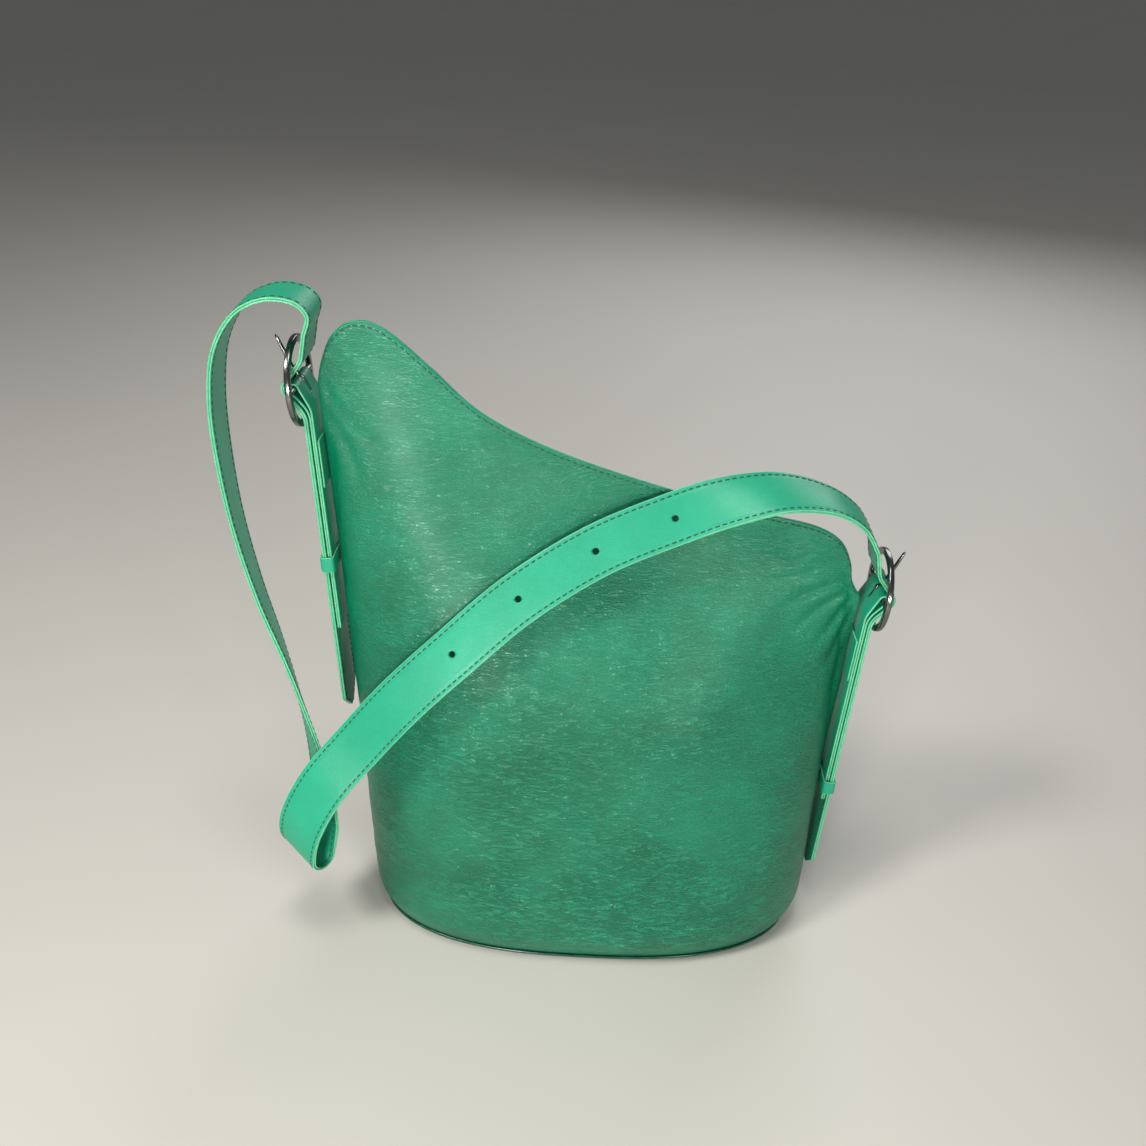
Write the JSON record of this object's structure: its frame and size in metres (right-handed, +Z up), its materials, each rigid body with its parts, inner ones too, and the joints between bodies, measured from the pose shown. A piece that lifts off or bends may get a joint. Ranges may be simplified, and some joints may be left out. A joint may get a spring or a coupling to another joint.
{
  "type": "bucket bag",
  "caption": "Leather bucket bag with an oval base, an S-shaped pinched mouth with one high and one low side, and a flat shoulder strap in two round buckles.",
  "frame": {"origin": "centre of the oval base, on the surface that the bag stands on", "axes": "+X towards the low shoulder, +Y to the back, +Z up; the front faces -Y"},
  "size_m": [0.3899, 0.1593, 0.4025],
  "materials": {
    "body_leather": "smooth emerald green calf leather with a soft gloss",
    "strap_leather": "green strap leather, semi-gloss, with paler painted edges",
    "strap_backing": "smooth green backing leather",
    "edge_paint": "glossy dark green edge paint",
    "lining_cloth": "dark green-grey woven lining",
    "stiffener": "grey stiffener board",
    "buckle_metal": "polished dark nickel",
    "snap_metal": "nickel-plated magnet snap"
  },
  "bodies": {
    "root": {"base_panel": "body_leather", "base_binding": "edge_paint", "base_board": "stiffener", "base_lining": "lining_cloth", "front_panel": "body_leather", "back_panel": "body_leather", "front_lining": "lining_cloth", "back_lining": "lining_cloth", "front_facing": "body_leather", "back_facing": "body_leather", "inner_pocket": "lining_cloth", "snap_socket": "snap_metal", "snap_stud": "snap_metal", "snap_washer_front": "snap_metal", "snap_washer_back": "snap_metal", "left_tab": "strap_leather", "left_tab_patch": "strap_leather", "right_tab": "strap_leather", "right_tab_patch": "strap_leather", "strap_face": "strap_leather", "strap_lining": "strap_backing"},
    "left_buckle": {"left_buckle": "buckle_metal"},
    "right_buckle": {"right_buckle": "buckle_metal"},
    "left_prong": {"left_prong": "buckle_metal"},
    "right_prong": {"right_prong": "buckle_metal"},
    "left_keeper": {"left_keeper": "strap_leather"},
    "right_keeper": {"right_keeper": "strap_leather"}
  },
  "joints": [
    {"name": "left_buckle_tilt", "type": "hinge", "parent": "root", "child": "left_buckle", "pos_m": [-0.16859, 0, 0.352], "axis": [0, -1, 0], "range_deg": [-7, 3]},
    {"name": "left_prong_swing", "type": "hinge", "parent": "left_buckle", "child": "left_prong", "pos_m": [-0.16859, 0, 0.352], "axis": [0, -1, 0], "range_deg": [-8, 3]},
    {"name": "left_keeper_slide", "type": "slide", "parent": "root", "child": "left_keeper", "axis": [-0.046, 0, 0.9989], "range_m": [-0.035, 0.04]},
    {"name": "right_buckle_tilt", "type": "hinge", "parent": "root", "child": "right_buckle", "pos_m": [0.16335, 0, 0.238], "axis": [0, 1, 0], "range_deg": [-7, 3]},
    {"name": "right_prong_swing", "type": "hinge", "parent": "right_buckle", "child": "right_prong", "pos_m": [0.16335, 0, 0.238], "axis": [0, 1, 0], "range_deg": [-8, 3]},
    {"name": "right_keeper_slide", "type": "slide", "parent": "root", "child": "right_keeper", "axis": [0.046, 0, 0.9989], "range_m": [-0.006, 0.07]}
  ]
}
